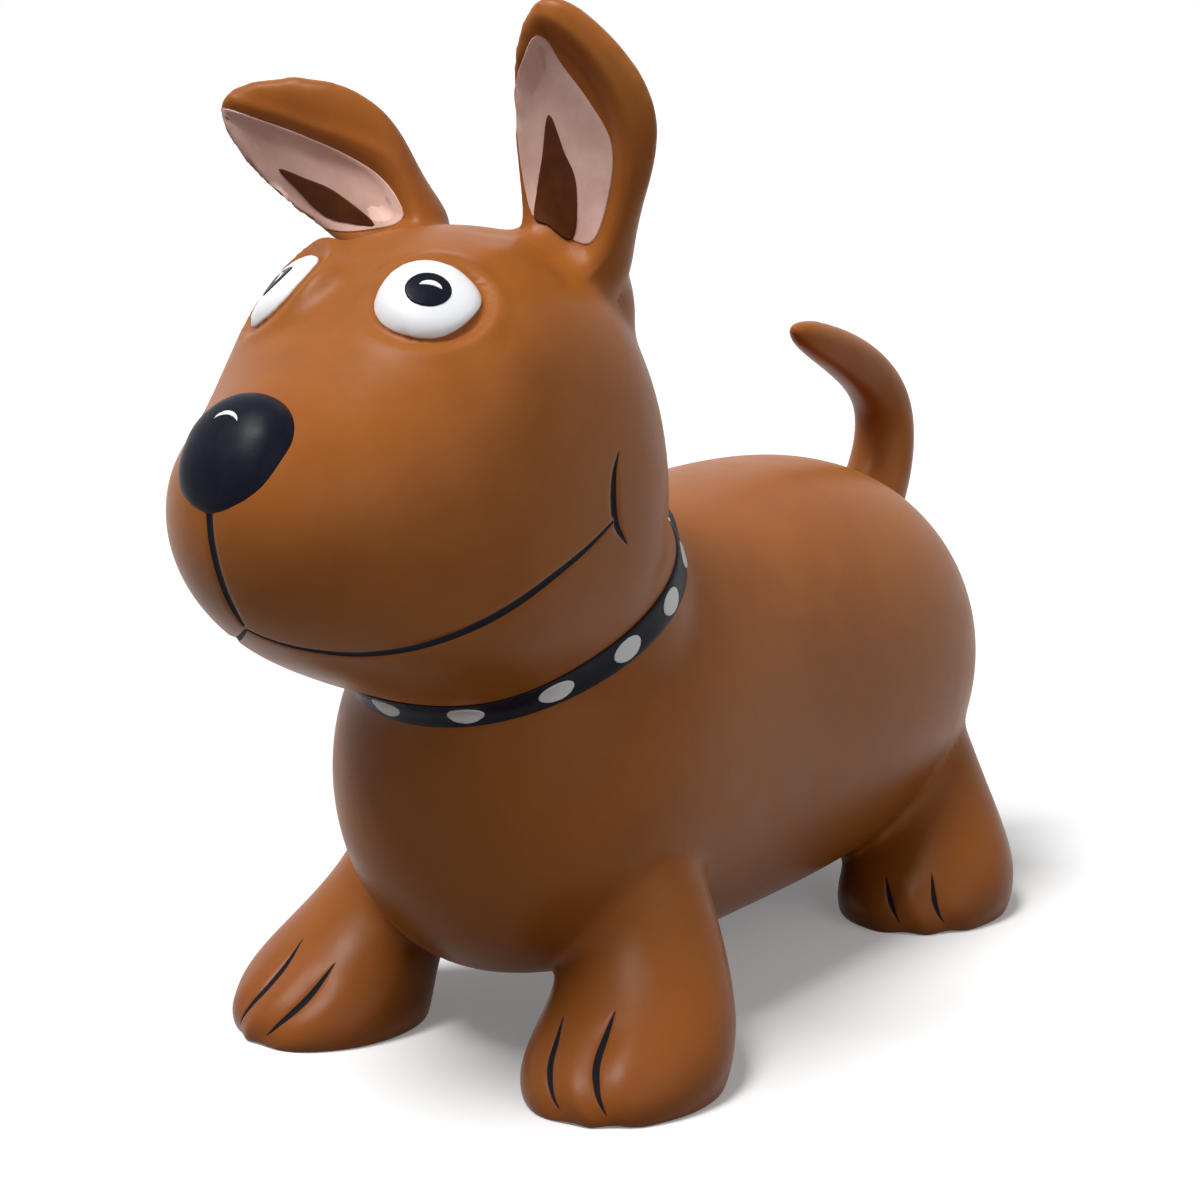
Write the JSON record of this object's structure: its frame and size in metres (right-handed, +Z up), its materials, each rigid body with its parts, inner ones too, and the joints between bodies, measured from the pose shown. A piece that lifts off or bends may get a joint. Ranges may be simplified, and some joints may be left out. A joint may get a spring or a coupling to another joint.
{
  "type": "bouncy ride on animal",
  "caption": "Blown-up ride-on dog with a hollow rubber skin, standing on flat-soled paws, with upright ears and a curled tail that bend and spring back, and a push-in air plug under the belly.",
  "frame": {"origin": "middle of the bounding box, at floor level", "axes": "+Z up; -Y forwards, out of the muzzle; +X to the dog's left side"},
  "size_m": [0.2707, 0.6159, 0.4992],
  "materials": {
    "brown_skin": "satin",
    "navy_paint": "satin",
    "white_paint": "satin",
    "lining_paint": "matte",
    "fold_paint": "matte",
    "valve_plastic": "matte"
  },
  "bodies": {
    "skin": {"torso": "brown_skin", "head": "brown_skin", "leg_front_left": "brown_skin", "leg_front_right": "brown_skin", "leg_rear_left": "brown_skin", "leg_rear_right": "brown_skin", "nose": "navy_paint", "nose_glint": "white_paint", "eye_white_left": "white_paint", "eye_white_right": "white_paint", "pupil_left": "navy_paint", "pupil_right": "navy_paint", "eye_glint_left": "white_paint", "eye_glint_right": "white_paint", "mouth_line": "navy_paint", "lip_line": "navy_paint", "cheek_crease_left": "navy_paint", "cheek_crease_right": "navy_paint", "collar_band": "navy_paint", "collar_stud_01": "white_paint", "collar_stud_02": "white_paint", "collar_stud_03": "white_paint", "collar_stud_04": "white_paint", "collar_stud_05": "white_paint", "collar_stud_06": "white_paint", "collar_stud_07": "white_paint", "collar_stud_08": "white_paint", "collar_stud_09": "white_paint", "collar_stud_10": "white_paint", "collar_stud_11": "white_paint", "collar_stud_12": "white_paint", "collar_stud_13": "white_paint", "toe_line_front_left_inner": "navy_paint", "toe_line_front_left_outer": "navy_paint", "toe_line_front_right_inner": "navy_paint", "toe_line_front_right_outer": "navy_paint", "toe_line_rear_left_inner": "navy_paint", "toe_line_rear_left_outer": "navy_paint", "toe_line_rear_right_inner": "navy_paint", "toe_line_rear_right_outer": "navy_paint", "valve_seat": "valve_plastic"},
    "ear_left": {"ear_left": "brown_skin", "ear_lining_left": "lining_paint", "ear_fold_left": "fold_paint"},
    "ear_right": {"ear_right": "brown_skin", "ear_lining_right": "lining_paint", "ear_fold_right": "fold_paint"},
    "tail": {"tail": "brown_skin"},
    "plug": {"valve_plug": "valve_plastic"}
  },
  "joints": [
    {"name": "ear_left_bend", "type": "hinge", "parent": "skin", "child": "ear_left", "pos_m": [0.04361, -0.09795, 0.36602], "axis": [0.9642, 0.25, -0.0891], "range_deg": [-15, 18], "stiffness_Nm_per_rad": 1.5},
    {"name": "ear_right_bend", "type": "hinge", "parent": "skin", "child": "ear_right", "pos_m": [-0.03827, -0.09795, 0.3764], "axis": [0.6624, 0.1926, 0.7239], "range_deg": [-15, 18], "stiffness_Nm_per_rad": 1.5},
    {"name": "tail_wag", "type": "hinge", "parent": "skin", "child": "tail", "pos_m": [0, 0.273, 0.21792], "axis": [0, 1, 0], "range_deg": [-20, 20], "stiffness_Nm_per_rad": 1.5},
    {"name": "plug_pull", "type": "slide", "parent": "skin", "child": "plug", "axis": [0, 0, -1], "range_m": [0, 0.016]}
  ]
}
